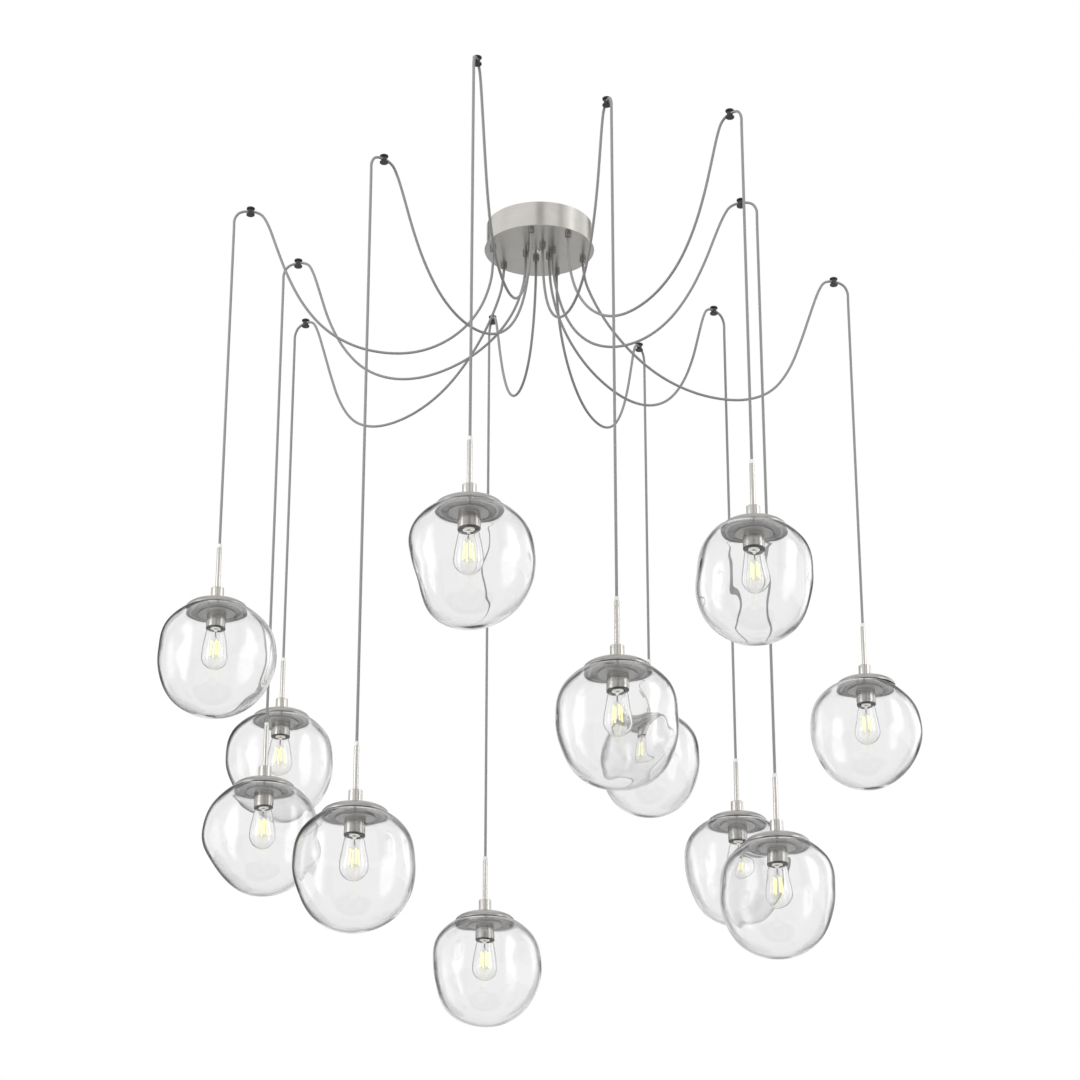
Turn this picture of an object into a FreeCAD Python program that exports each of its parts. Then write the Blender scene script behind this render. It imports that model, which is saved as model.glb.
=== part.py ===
"""Cluster pendant: twelve clear blown-glass globes that hang at three heights from ceiling hooks.

The origin is on the ceiling plane at the centre of the canopy, +Z is up, and all sizes are in mm.
A cord leaves the canopy for each globe, sags to a hook, bends over it and drops to the globe's
stem. Four rings of three hooks make the cluster, and the canopy's cord grips match them.
"""

import FreeCAD
import Part

import math
import os

VEC = FreeCAD.Vector
UP = VEC(0, 0, 1)

# Cluster: rings of three hooks round the canopy, seen from above, angles from +X
RING_COPIES = 3
CLUSTER_TURN = -76.0
PAIR_HALF_ANGLE = 23.85
PAIR_RING_WIDE = 750.0
PAIR_RING_NARROW = 664.0
MIDDLE_RING = 592.0
INNER_RING = 475.0
WIDE_RIM_DEPTH = 1030.5
NARROW_RIM_DEPTH = 983.0
MIDDLE_RIM_DEPTH = 1301.0
INNER_RIM_DEPTH = 1516.5

# Cord
CORD_RADIUS = 3.0
CORD_CLEARANCE = 0.15
CORD_DEPTH = 9.0
PLUMB_OFFSET = 36.0
PIVOT_DEPTH = 57.0
PIVOT_GAP = 0.3
RUN_SHARE = 0.45

# Swag routes: distance from the hook towards the canopy, and depth below the ceiling
HOOK_BEND = [(-36.6, 29.0), (-22.0, CORD_DEPTH), (22.0, CORD_DEPTH)]
SWAG_WIDE = [
    (41, 38), (65, 104), (92, 182), (124, 262), (170, 326), (234, 359), (308, 368),
    (386, 359), (463, 330), (531, 280), (590, 214), (630, 143), (641, 104),
]
SWAG_NARROW = [
    (41, 38), (62, 97), (88, 166), (125, 237), (175, 296), (239, 333), (309, 347),
    (379, 342), (441, 316), (493, 273), (531, 217), (551, 157), (557, 112),
]
SWAG_MIDDLE = [
    (38, 36), (56, 92), (80, 170), (117, 246), (167, 306), (229, 340), (298, 350),
    (368, 338), (434, 310), (490, 267), (530, 214), (552, 156), (559, 112),
]
SWAG_INNER = [
    (40, 34), (60, 80), (86, 147), (122, 219), (169, 281), (225, 320), (287, 334),
    (343, 322), (385, 288), (413, 240), (431, 184), (441, 128), (443, 100),
]

# Canopy
BAND_RADIUS = 121.5
BAND_DEPTH = 60.0
BAND_WALL = 1.2
PLATE_RADIUS = 126.0
PLATE_THICKNESS = 2.5
PLATE_EDGE_ROUND = 0.8
OUTER_PORT_RING = 107.0
INNER_PORT_RING = 32.0

# Cord grips through the canopy plate
GRIP_RADIUS = 7.2
GRIP_LENGTH = 9.5
GRIP_EDGE = 0.7
GRIP_SHANK_RADIUS = 5.0
GRIP_SHANK_REACH = 6.0
LOCKNUT_FLATS = 15.0
LOCKNUT_HEIGHT = 4.0
THREAD_CLEARANCE = 0.1

# Ceiling bracket, its stud and the cap nut under the plate
BRACKET_LENGTH = 118.0
BRACKET_WIDTH = 24.0
BRACKET_THICKNESS = 2.5
BOX_SCREW_SPACING = 88.9
BOX_SLOT_WIDTH = 5.0
BOX_SLOT_LENGTH = 16.0
STUD_RADIUS = 4.9
STUD_BORE_RADIUS = 3.4
STUD_TOP_DEPTH = 0.5
STUD_NUT_FLATS = 17.0
STUD_NUT_HEIGHT = 4.0
CAP_NUT_RADIUS = 7.0
CAP_NUT_RIM = 2.0
CAP_NUT_HEIGHT = 6.5
GROUND_SCREW_OFFSET = 24.0
GROUND_SCREW_RADIUS = 2.0
GROUND_HEAD_RADIUS = 4.0
GROUND_HEAD_HEIGHT = 2.6
GROUND_SCREW_TIP = 0.3

# Wiring hub: the round terminal block where all cords join
HUB_RADIUS = 42.0
HUB_TOP_DEPTH = 30.0
HUB_HEIGHT = 16.0
LEAD_BEND_RADIUS = 15.0
LEAD_GAP = 0.3

# Ceiling hook: a spool in two halves, clamped on the cord
SPOOL_RADIUS = 9.5
SPOOL_FLANGE = 4.0
SPOOL_WAIST_RADIUS = 6.5
SPOOL_WAIST_HEIGHT = 11.0
SPOOL_EDGE = 0.8
SPOOL_SPIGOT_RADIUS = 4.0
SPOOL_SPIGOT_HEIGHT = 1.6
HOOK_SCREW_HOLE_RADIUS = 2.2
HOOK_SCREW_FLOOR = 1.2

# Pendant fitting, heights above (+) or below (-) the cap's lower rim
CAP_RADIUS = 67.7
CAP_RIM_HEIGHT = 2.0
CAP_DOME_HEIGHT = 22.5
CAP_WALL = 1.2
STEM_RADIUS = 5.3
STEM_WALL = 1.3
STEM_LENGTH = 94.0
COLLAR_RADIUS = 4.6
COLLAR_HEIGHT = 8.3
COUPLER_RADIUS = 14.0
COUPLER_HEIGHT = 27.5
COUPLER_EDGE = 0.6
STEM_SEAT_DEPTH = 10.0
NIPPLE_RADIUS = 4.9
NIPPLE_WALL = 1.0
NIPPLE_GRIP = 12.0
FITTER_THICKNESS = 1.5
FITTER_CLEARANCE = 0.2
FITTER_HUB_RADIUS = 35.0
FITTER_HUB_WALL = 1.5
GASKET_THICKNESS = 0.8
GASKET_WIDTH = 18.0
SHADE_RING_RADIUS = 39.5
SHADE_RING_HEIGHT = 3.0
SOCKET_CUP_RADIUS = 21.75
SOCKET_CUP_WALL = 1.0
SOCKET_CUP_LENGTH = 32.5
SOCKET_RIM_HEIGHT = 3.0
SOCKET_RIM_BORE = 15.5
SOCKET_BODY_RADIUS = 20.5
SHELL_WALL = 0.5
LAMP_CLEARANCE = 0.15

# Glass globe: a round bubble with a flat top and a round mouth in it
GLOBE_RADIUS = 123.5
GLOBE_DROP = 233.6
GLASS_WALL = 3.3
MOUTH_CLEARANCE = 1.0

# Lamp
LAMP_RADIUS = 29.0
LAMP_LENGTH = 91.0
LAMP_NECK_RADIUS = 13.3
LAMP_GLASS_WALL = 0.8
LAMP_SHOULDER = [(27.6, 0.30), (24.1, 0.595), (22.0, 0.80), (20.3, 0.91), (17.3, 0.975)]
LAMP_NECK_SPREAD = 0.3
LAMP_BASE_RADIUS = 13.1
LAMP_BASE_LENGTH = 22.0
LAMP_CONTACT_RADIUS = 4.5
LAMP_CONTACT_HEIGHT = 2.5
LAMP_STEM_RADIUS = 6.0
LAMP_STEM_LENGTH = 24.0
FILAMENT_COUNT = 4
FILAMENT_RADIUS = 0.9
FILAMENT_LENGTH = 36.0
FILAMENT_TOP_SPREAD = 2.05
FILAMENT_SPREAD = 11.0
FILAMENT_TURN = 45.0

CURVE_STEPS = 16

# Heights that follow from the sizes above
PLATE_BOTTOM = BAND_DEPTH + PLATE_THICKNESS
GRIP_BOTTOM = PLATE_BOTTOM + GRIP_LENGTH
HUB_MIDDLE_DEPTH = HUB_TOP_DEPTH + HUB_HEIGHT / 2
CAP_TOP = CAP_RIM_HEIGHT + CAP_DOME_HEIGHT
COUPLER_TOP = CAP_TOP + COUPLER_HEIGHT
STEM_TOP = COUPLER_TOP + STEM_LENGTH
COLLAR_TOP = STEM_TOP + COLLAR_HEIGHT
GLASS_TOP = -GASKET_THICKNESS
SHADE_RING_TOP = GLASS_TOP - GLASS_WALL
FITTER_BOTTOM = SHADE_RING_TOP - SHADE_RING_HEIGHT
CUP_TOP = FITTER_BOTTOM
CUP_BOTTOM = CUP_TOP - SOCKET_CUP_LENGTH
SOCKET_BOTTOM = CUP_BOTTOM - SOCKET_RIM_HEIGHT
NIPPLE_BOTTOM = CUP_TOP - SOCKET_CUP_WALL - NIPPLE_WALL
LAMP_BASE_BOTTOM = SOCKET_BOTTOM
GLOBE_CENTRE = GLOBE_RADIUS - GLOBE_DROP
MOUTH_RADIUS = FITTER_HUB_RADIUS + MOUTH_CLEARANCE


def lathe(points):
    """A solid of revolution about Z from a closed outline of (radius, height) points."""
    outline = [VEC(r, 0, z) for r, z in points]
    face = Part.Face(Part.makePolygon(outline + outline[:1]))
    return face.revolve(VEC(0, 0, 0), UP, 360)


def lathe_edges(edges):
    """A solid of revolution about Z from edges that close in the XZ plane."""
    face = Part.Face(Part.Wire(Part.__sortEdges__(edges)))
    return face.revolve(VEC(0, 0, 0), UP, 360)


def ring(inner, outer, low, high):
    """A plain ring or, where inner is 0, a disc."""
    return lathe([(inner, low), (outer, low), (outer, high), (inner, high)])


def soft_ring(inner, outer, low, high, edge):
    """A ring whose two outer edges are bevelled."""
    return lathe([
        (inner, low), (outer - edge, low), (outer, low + edge),
        (outer, high - edge), (outer - edge, high), (inner, high),
    ])


def line(start, end):
    """A straight edge between two (radius, height) points."""
    return Part.LineSegment(VEC(start[0], 0, start[1]), VEC(end[0], 0, end[1])).toShape()


def curve(points):
    """A smooth edge through (radius, height) points."""
    edge = Part.BSplineCurve()
    edge.interpolate([VEC(r, 0, z) for r, z in points])
    return edge.toShape()


def ellipse_points(half_width, half_height, centre, start, end):
    """Points along an upright ellipse about the axis; angles run from its top, in radians."""
    angles = [start + (end - start) * i / CURVE_STEPS for i in range(CURVE_STEPS + 1)]
    return [(half_width * math.sin(a), centre + half_height * math.cos(a)) for a in angles]


def hexagon(flats, bore, low, high):
    """A hexagon nut standing on low."""
    corner = flats / math.sqrt(3)
    corners = [
        VEC(corner * math.cos(math.radians(60 * i)), corner * math.sin(math.radians(60 * i)), low)
        for i in range(7)
    ]
    prism = Part.Face(Part.makePolygon(corners)).extrude(VEC(0, 0, high - low))
    return prism.cut(Part.makeCylinder(bore, high - low, VEC(0, 0, low)))


# Cords


def route_radii(points):
    """The radius of the tangent arc at each inner point of a route."""
    radii = []
    for before, here, after in zip(points, points[1:], points[2:]):
        turn = (here - before).getAngle(after - here)
        shorter = min((here - before).Length, (after - here).Length)
        radii.append(RUN_SHARE * shorter / math.tan(turn / 2))
    return radii


def route_wire(points):
    """Straight runs joined by tangent arcs, each as large as its two runs allow."""
    edges = []
    start = points[0]
    for before, here, after, radius in zip(points, points[1:], points[2:], route_radii(points)):
        back = (before - here).normalize()
        ahead = (after - here).normalize()
        turn = math.pi - back.getAngle(ahead)
        reach = radius * math.tan(turn / 2)
        inward = (back + ahead).normalize()
        crown = here + inward * (radius / math.cos(turn / 2) - radius)
        edges.append(Part.LineSegment(start, here + back * reach).toShape())
        edges.append(Part.Arc(here + back * reach, crown, here + ahead * reach).toShape())
        start = here + ahead * reach
    edges.append(Part.LineSegment(start, points[-1]).toShape())
    return Part.Wire(edges)


def tube(path, radius):
    """A round solid along a wire."""
    first = path.Edges[0]
    start = first.valueAt(first.FirstParameter)
    section = Part.Wire(Part.Circle(start, first.tangentAt(first.FirstParameter), radius).toShape())
    return path.makePipeShell([section], True, False)


def report_cord(name, points, solid, path):
    """Print what a cord's solid measures."""
    share = solid.Volume / (math.pi * CORD_RADIUS ** 2 * path.Length)
    radii = ", ".join(f"{r:.0f}" for r in route_radii(points))
    print(f"{name}: {path.Length:.0f} mm, volume share {share:.4f}, radii {radii}")


# Where everything goes


def polar(radius, degrees):
    angle = math.radians(degrees)
    return VEC(radius * math.cos(angle), radius * math.sin(angle), 0)


def cluster():
    """One entry per pendant: its hook, its port in the canopy, its plumb line, rim and swag."""
    kinds = [
        (PAIR_RING_WIDE, -PAIR_HALF_ANGLE, OUTER_PORT_RING, WIDE_RIM_DEPTH, SWAG_WIDE),
        (PAIR_RING_NARROW, PAIR_HALF_ANGLE, OUTER_PORT_RING, NARROW_RIM_DEPTH, SWAG_NARROW),
        (MIDDLE_RING, 0.0, INNER_PORT_RING, MIDDLE_RIM_DEPTH, SWAG_MIDDLE),
        (INNER_RING, 180.0 / RING_COPIES, INNER_PORT_RING, INNER_RIM_DEPTH, SWAG_INNER),
    ]
    places = []
    for hook_ring, turn, port_ring, rim_depth, swag in kinds:
        for copy in range(RING_COPIES):
            angle = CLUSTER_TURN + turn + 360.0 / RING_COPIES * copy
            hook = polar(hook_ring, angle)
            port = polar(port_ring, angle)
            inward = (port - hook).normalize()
            places.append({
                "hook": hook,
                "port": port,
                "inward": inward,
                "plumb": hook - inward * PLUMB_OFFSET,
                "rim": -rim_depth,
                "swag": swag,
            })
    return places


def swag_route(place):
    """The cord's points from over the pivot, through the hook, to the canopy's grip."""
    span = (place["port"] - place["hook"]).Length
    flat = [(-PLUMB_OFFSET, PIVOT_DEPTH - CORD_RADIUS - PIVOT_GAP)]
    flat += HOOK_BEND + place["swag"] + [(span, GRIP_BOTTOM)]
    return [place["hook"] + place["inward"] * s - UP * depth for s, depth in flat]


def swag_cord(name, place):
    points = swag_route(place)
    path = route_wire(points)
    solid = tube(path, CORD_RADIUS)
    report_cord(name, points, solid, path)
    return solid


def drop_cord(place):
    """The straight drop, round-topped at the pivot, down into the stem's collar."""
    low = place["rim"] + STEM_TOP
    drop = Part.makeCylinder(CORD_RADIUS, -PIVOT_DEPTH - low, VEC(0, 0, low))
    drop = drop.fuse(Part.makeSphere(CORD_RADIUS, VEC(0, 0, -PIVOT_DEPTH))).removeSplitter()
    drop.translate(place["plumb"])
    return drop


def lead_tail(place):
    """A cord's tail inside the canopy, from its grip to the wiring hub."""
    port = place["port"]
    foot = port - UP * GRIP_BOTTOM
    if port.Length < HUB_RADIUS:
        height = GRIP_BOTTOM - HUB_TOP_DEPTH - HUB_HEIGHT
        return Part.makeCylinder(CORD_RADIUS, height, foot)
    towards = VEC(port).normalize() * -1
    bend_foot = port - UP * (HUB_MIDDLE_DEPTH + LEAD_BEND_RADIUS)
    bend_top = port - UP * HUB_MIDDLE_DEPTH + towards * LEAD_BEND_RADIUS
    centre = bend_foot + towards * LEAD_BEND_RADIUS
    crown = centre + (UP - towards).normalize() * LEAD_BEND_RADIUS
    end = towards * -(HUB_RADIUS + LEAD_GAP) - UP * HUB_MIDDLE_DEPTH
    path = Part.Wire([
        Part.LineSegment(foot, bend_foot).toShape(),
        Part.Arc(bend_foot, crown, bend_top).toShape(),
        Part.LineSegment(bend_top, end).toShape(),
    ])
    return tube(path, CORD_RADIUS)


# Canopy and ceiling parts


def canopy_band():
    return ring(BAND_RADIUS - BAND_WALL, BAND_RADIUS, -BAND_DEPTH, 0)


def canopy_plate(places):
    plate = soft_ring(
        STUD_RADIUS + THREAD_CLEARANCE, PLATE_RADIUS, -PLATE_BOTTOM, -BAND_DEPTH, PLATE_EDGE_ROUND
    )
    for place in places:
        foot = place["port"] - UP * PLATE_BOTTOM
        plate = plate.cut(Part.makeCylinder(GRIP_SHANK_RADIUS, PLATE_THICKNESS, foot))
    return plate


def cord_grip(place):
    shank = GRIP_SHANK_RADIUS - THREAD_CLEARANCE
    top = -BAND_DEPTH + GRIP_SHANK_REACH
    bore = CORD_RADIUS + CORD_CLEARANCE
    grip = lathe([
        (bore, -GRIP_BOTTOM), (GRIP_RADIUS - GRIP_EDGE, -GRIP_BOTTOM),
        (GRIP_RADIUS, -GRIP_BOTTOM + GRIP_EDGE), (GRIP_RADIUS, -PLATE_BOTTOM),
        (shank, -PLATE_BOTTOM), (shank, top), (bore, top),
    ])
    grip.translate(place["port"])
    return grip


def grip_locknut(place):
    nut = hexagon(LOCKNUT_FLATS, GRIP_SHANK_RADIUS, -BAND_DEPTH, -BAND_DEPTH + LOCKNUT_HEIGHT)
    nut.translate(place["port"])
    return nut


def slot_cutter(centre_x):
    """A vertical slot cutter along X."""
    half = BOX_SLOT_WIDTH / 2
    straight = BOX_SLOT_LENGTH - BOX_SLOT_WIDTH
    low = -BRACKET_THICKNESS
    cutter = Part.makeBox(
        straight, BOX_SLOT_WIDTH, BRACKET_THICKNESS, VEC(centre_x - straight / 2, -half, low)
    )
    for side in (-1, 1):
        end = VEC(centre_x + side * straight / 2, 0, low)
        cutter = cutter.fuse(Part.makeCylinder(half, BRACKET_THICKNESS, end))
    return cutter


def ceiling_bracket():
    low = -BRACKET_THICKNESS
    bar = Part.makeBox(
        BRACKET_LENGTH, BRACKET_WIDTH, BRACKET_THICKNESS,
        VEC(-BRACKET_LENGTH / 2, -BRACKET_WIDTH / 2, low),
    )
    holes = [slot_cutter(side * BOX_SCREW_SPACING / 2) for side in (-1, 1)]
    holes.append(Part.makeCylinder(STUD_RADIUS + THREAD_CLEARANCE, BRACKET_THICKNESS, VEC(0, 0, low)))
    holes.append(Part.makeCylinder(
        GROUND_SCREW_RADIUS + THREAD_CLEARANCE, BRACKET_THICKNESS, VEC(GROUND_SCREW_OFFSET, 0, low)
    ))
    for hole in holes:
        bar = bar.cut(hole)
    return bar


def bracket_fasteners():
    """The hollow stud, the nuts under the bracket and the hub, and the ground screw."""
    stud_bottom = -PLATE_BOTTOM - CAP_NUT_RIM
    stud = ring(STUD_BORE_RADIUS, STUD_RADIUS, stud_bottom, -STUD_TOP_DEPTH)
    nut_bore = STUD_RADIUS + THREAD_CLEARANCE
    bracket_nut_top = -BRACKET_THICKNESS
    hub_bottom = -HUB_TOP_DEPTH - HUB_HEIGHT
    screw = lathe([
        (0, bracket_nut_top - GROUND_HEAD_HEIGHT),
        (GROUND_HEAD_RADIUS, bracket_nut_top - GROUND_HEAD_HEIGHT),
        (GROUND_HEAD_RADIUS, bracket_nut_top),
        (GROUND_SCREW_RADIUS, bracket_nut_top),
        (GROUND_SCREW_RADIUS, -GROUND_SCREW_TIP),
        (0, -GROUND_SCREW_TIP),
    ])
    screw.translate(VEC(GROUND_SCREW_OFFSET, 0, 0))
    return [
        stud,
        hexagon(STUD_NUT_FLATS, nut_bore, bracket_nut_top - STUD_NUT_HEIGHT, bracket_nut_top),
        hexagon(STUD_NUT_FLATS, nut_bore, hub_bottom - STUD_NUT_HEIGHT, hub_bottom),
        screw,
    ]


def cap_nut():
    """A low domed nut under the plate, blind over the end of the stud."""
    bore = STUD_RADIUS + THREAD_CLEARANCE
    top = -PLATE_BOTTOM
    dome = CAP_NUT_HEIGHT - CAP_NUT_RIM
    quarter = ellipse_points(CAP_NUT_RADIUS, dome, top - CAP_NUT_RIM, math.pi / 2, math.pi)
    return lathe_edges([
        line((bore, top), (CAP_NUT_RADIUS, top)),
        line((CAP_NUT_RADIUS, top), quarter[0]),
        curve(quarter),
        line(quarter[-1], (0, top - CAP_NUT_RIM)),
        line((0, top - CAP_NUT_RIM), (bore, top - CAP_NUT_RIM)),
        line((bore, top - CAP_NUT_RIM), (bore, top)),
    ])


def terminal_hub():
    bore = STUD_RADIUS + THREAD_CLEARANCE
    return ring(bore, HUB_RADIUS, -HUB_TOP_DEPTH - HUB_HEIGHT, -HUB_TOP_DEPTH)


def hook_base(place):
    """The upper half of a hook: its flange against the ceiling, and the waist that the cord crosses."""
    waist_bottom = -SPOOL_FLANGE - SPOOL_WAIST_HEIGHT
    channel_radius = CORD_RADIUS + CORD_CLEARANCE
    screw_end = channel_radius + HOOK_SCREW_FLOOR - CORD_DEPTH
    spool = lathe([
        (HOOK_SCREW_HOLE_RADIUS, 0), (SPOOL_RADIUS - SPOOL_EDGE, 0),
        (SPOOL_RADIUS, -SPOOL_EDGE), (SPOOL_RADIUS, SPOOL_EDGE - SPOOL_FLANGE),
        (SPOOL_RADIUS - SPOOL_EDGE, -SPOOL_FLANGE), (SPOOL_WAIST_RADIUS, -SPOOL_FLANGE),
        (SPOOL_WAIST_RADIUS, waist_bottom), (SPOOL_SPIGOT_RADIUS, waist_bottom),
        (SPOOL_SPIGOT_RADIUS, waist_bottom + SPOOL_SPIGOT_HEIGHT),
        (0, waist_bottom + SPOOL_SPIGOT_HEIGHT), (0, screw_end), (HOOK_SCREW_HOLE_RADIUS, screw_end),
    ])
    channel = Part.makeCylinder(
        channel_radius, 2 * SPOOL_RADIUS,
        place["inward"] * -SPOOL_RADIUS - UP * CORD_DEPTH, place["inward"],
    )
    spool = spool.cut(channel)
    spool.translate(place["hook"])
    return spool


def hook_cap(place):
    """The lower flange of a hook, with the spigot that screws into the waist."""
    top = -SPOOL_FLANGE - SPOOL_WAIST_HEIGHT
    spigot = SPOOL_SPIGOT_RADIUS - THREAD_CLEARANCE
    spigot_top = top + SPOOL_SPIGOT_HEIGHT - THREAD_CLEARANCE
    cap = lathe([
        (0, spigot_top), (spigot, spigot_top), (spigot, top), (SPOOL_RADIUS - SPOOL_EDGE, top),
        (SPOOL_RADIUS, top - SPOOL_EDGE), (SPOOL_RADIUS, top - SPOOL_FLANGE + SPOOL_EDGE),
        (SPOOL_RADIUS - SPOOL_EDGE, top - SPOOL_FLANGE), (0, top - SPOOL_FLANGE),
    ])
    cap.translate(place["hook"])
    return cap


# One pendant, with heights measured from the cap's lower rim


def cap_shell():
    """The domed metal cap over the glass, with a hole for the nipple."""
    hole = NIPPLE_RADIUS + THREAD_CLEARANCE
    bore = CAP_RADIUS - CAP_WALL
    rise = CAP_DOME_HEIGHT - CAP_WALL
    outer_end = math.asin(hole / CAP_RADIUS)
    inner_end = math.asin(hole / bore)
    outer = ellipse_points(CAP_RADIUS, CAP_DOME_HEIGHT, CAP_RIM_HEIGHT, math.pi / 2, outer_end)
    inner = ellipse_points(bore, rise, CAP_RIM_HEIGHT, math.pi / 2, inner_end)
    return lathe_edges([
        line((CAP_RADIUS, 0), outer[0]),
        curve(outer),
        line(outer[-1], inner[-1]),
        curve(inner),
        line(inner[0], (bore, 0)),
        line((bore, 0), (CAP_RADIUS, 0)),
    ])


def coupler():
    """The thick collar over the cap that holds the stem above and the nipple below."""
    stem_bore = STEM_RADIUS + THREAD_CLEARANCE
    nipple_bore = NIPPLE_RADIUS + THREAD_CLEARANCE
    seat = COUPLER_TOP - STEM_SEAT_DEPTH
    return lathe([
        (nipple_bore, CAP_TOP), (COUPLER_RADIUS - COUPLER_EDGE, CAP_TOP),
        (COUPLER_RADIUS, CAP_TOP + COUPLER_EDGE), (COUPLER_RADIUS, COUPLER_TOP - COUPLER_EDGE),
        (COUPLER_RADIUS - COUPLER_EDGE, COUPLER_TOP), (stem_bore, COUPLER_TOP),
        (stem_bore, seat), (nipple_bore, seat),
    ])


def fitter():
    """The flat plate in the cap, with the hub that passes through the glass."""
    edge = CAP_RADIUS - CAP_WALL - FITTER_CLEARANCE
    bore = NIPPLE_RADIUS + THREAD_CLEARANCE
    wall = FITTER_HUB_RADIUS - FITTER_HUB_WALL
    return lathe([
        (wall, FITTER_THICKNESS), (edge, FITTER_THICKNESS), (edge, 0),
        (FITTER_HUB_RADIUS, 0), (FITTER_HUB_RADIUS, FITTER_BOTTOM), (bore, FITTER_BOTTOM),
        (bore, FITTER_BOTTOM + FITTER_HUB_WALL), (wall, FITTER_BOTTOM + FITTER_HUB_WALL),
    ])


def socket_cup():
    bore = NIPPLE_RADIUS + THREAD_CLEARANCE
    inner = SOCKET_CUP_RADIUS - SOCKET_CUP_WALL
    return lathe([
        (bore, CUP_TOP), (SOCKET_CUP_RADIUS, CUP_TOP), (SOCKET_CUP_RADIUS, CUP_BOTTOM),
        (inner, CUP_BOTTOM), (inner, CUP_TOP - SOCKET_CUP_WALL), (bore, CUP_TOP - SOCKET_CUP_WALL),
    ])


def socket_body():
    """The insulating lamp holder in the cup, with its dark rim below."""
    well = LAMP_BASE_RADIUS + LAMP_CLEARANCE + SHELL_WALL
    floor = SOCKET_BOTTOM + LAMP_BASE_LENGTH + LAMP_CONTACT_HEIGHT + LAMP_CLEARANCE
    lid = NIPPLE_BOTTOM
    return lathe([
        (0, lid), (SOCKET_BODY_RADIUS, lid), (SOCKET_BODY_RADIUS, CUP_BOTTOM),
        (SOCKET_CUP_RADIUS, CUP_BOTTOM), (SOCKET_CUP_RADIUS, SOCKET_BOTTOM),
        (SOCKET_RIM_BORE, SOCKET_BOTTOM), (well, SOCKET_BOTTOM + SOCKET_RIM_HEIGHT),
        (well, floor), (0, floor),
    ])


def socket_shell():
    """The brass screw shell that the lamp's base turns into."""
    inner = LAMP_BASE_RADIUS + LAMP_CLEARANCE
    low = SOCKET_BOTTOM + SOCKET_RIM_HEIGHT
    return ring(inner, inner + SHELL_WALL, low, SOCKET_BOTTOM + LAMP_BASE_LENGTH)


def pendant_fitting():
    """All metal and insulating pieces that carry one glass and one lamp."""
    hub_bore = FITTER_HUB_RADIUS + THREAD_CLEARANCE
    stem_foot = COUPLER_TOP - STEM_SEAT_DEPTH
    nipple_top = CAP_TOP + NIPPLE_GRIP
    lead_bottom = NIPPLE_BOTTOM
    return [
        ring(CORD_RADIUS + CORD_CLEARANCE, COLLAR_RADIUS, STEM_TOP, COLLAR_TOP),
        ring(STEM_RADIUS - STEM_WALL, STEM_RADIUS, stem_foot, STEM_TOP),
        coupler(),
        ring(NIPPLE_RADIUS - NIPPLE_WALL, NIPPLE_RADIUS, NIPPLE_BOTTOM, nipple_top),
        ring(0, CORD_RADIUS, lead_bottom, STEM_TOP),
        cap_shell(),
        fitter(),
        ring(MOUTH_RADIUS, MOUTH_RADIUS + GASKET_WIDTH, -GASKET_THICKNESS, 0),
        ring(hub_bore, SHADE_RING_RADIUS, FITTER_BOTTOM, SHADE_RING_TOP),
        socket_cup(),
        socket_body(),
        socket_shell(),
    ]


def bubble_arc(radius, top):
    """The bubble's outline from its flat top to its lowest point: the edge and its two ends."""
    start = (math.sqrt(radius ** 2 - (top - GLOBE_CENTRE) ** 2), top)
    end = (0, GLOBE_CENTRE - radius)
    arc = Part.Arc(VEC(start[0], 0, start[1]), VEC(radius, 0, GLOBE_CENTRE), VEC(0, 0, end[1]))
    return arc.toShape(), start, end


def glass_globe():
    """The blown glass: a near-round bubble whose flat top has the mouth in it."""
    inner_top = GLASS_TOP - GLASS_WALL
    outer, outer_start, outer_end = bubble_arc(GLOBE_RADIUS, GLASS_TOP)
    inner, inner_start, inner_end = bubble_arc(GLOBE_RADIUS - GLASS_WALL, inner_top)
    return lathe_edges([
        line((MOUTH_RADIUS, GLASS_TOP), outer_start),
        outer,
        line(outer_end, inner_end),
        inner,
        line(inner_start, (MOUTH_RADIUS, inner_top)),
        line((MOUTH_RADIUS, inner_top), (MOUTH_RADIUS, GLASS_TOP)),
    ])


def lamp_outline(inset):
    """The bulb's outline from its neck to its tip, pulled in by inset."""
    neck = LAMP_BASE_BOTTOM
    tip = neck - LAMP_LENGTH
    centre = tip + LAMP_RADIUS
    radius = LAMP_RADIUS - inset
    shoulder = [(r - inset, centre + (neck - centre) * share) for r, share in LAMP_SHOULDER]
    upper = [(LAMP_NECK_RADIUS - inset, neck)] + shoulder[::-1] + [(radius, centre)]
    edge = Part.BSplineCurve()
    edge.interpolate(
        Points=[VEC(r, 0, z) for r, z in upper],
        InitialTangent=VEC(1, 0, -LAMP_NECK_SPREAD),
        FinalTangent=VEC(0, 0, -1),
    )
    side = VEC(radius * math.sin(math.pi / 4), 0, centre - radius * math.cos(math.pi / 4))
    bowl = Part.Arc(VEC(radius, 0, centre), side, VEC(0, 0, centre - radius))
    return edge.toShape(), bowl.toShape(), centre - radius


def lamp_glass():
    outer_side, outer_bowl, outer_tip = lamp_outline(0)
    inner_side, inner_bowl, inner_tip = lamp_outline(LAMP_GLASS_WALL)
    neck = LAMP_BASE_BOTTOM
    return lathe_edges([
        outer_side, outer_bowl, line((0, outer_tip), (0, inner_tip)), inner_bowl, inner_side,
        line((LAMP_NECK_RADIUS - LAMP_GLASS_WALL, neck), (LAMP_NECK_RADIUS, neck)),
    ])


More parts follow.
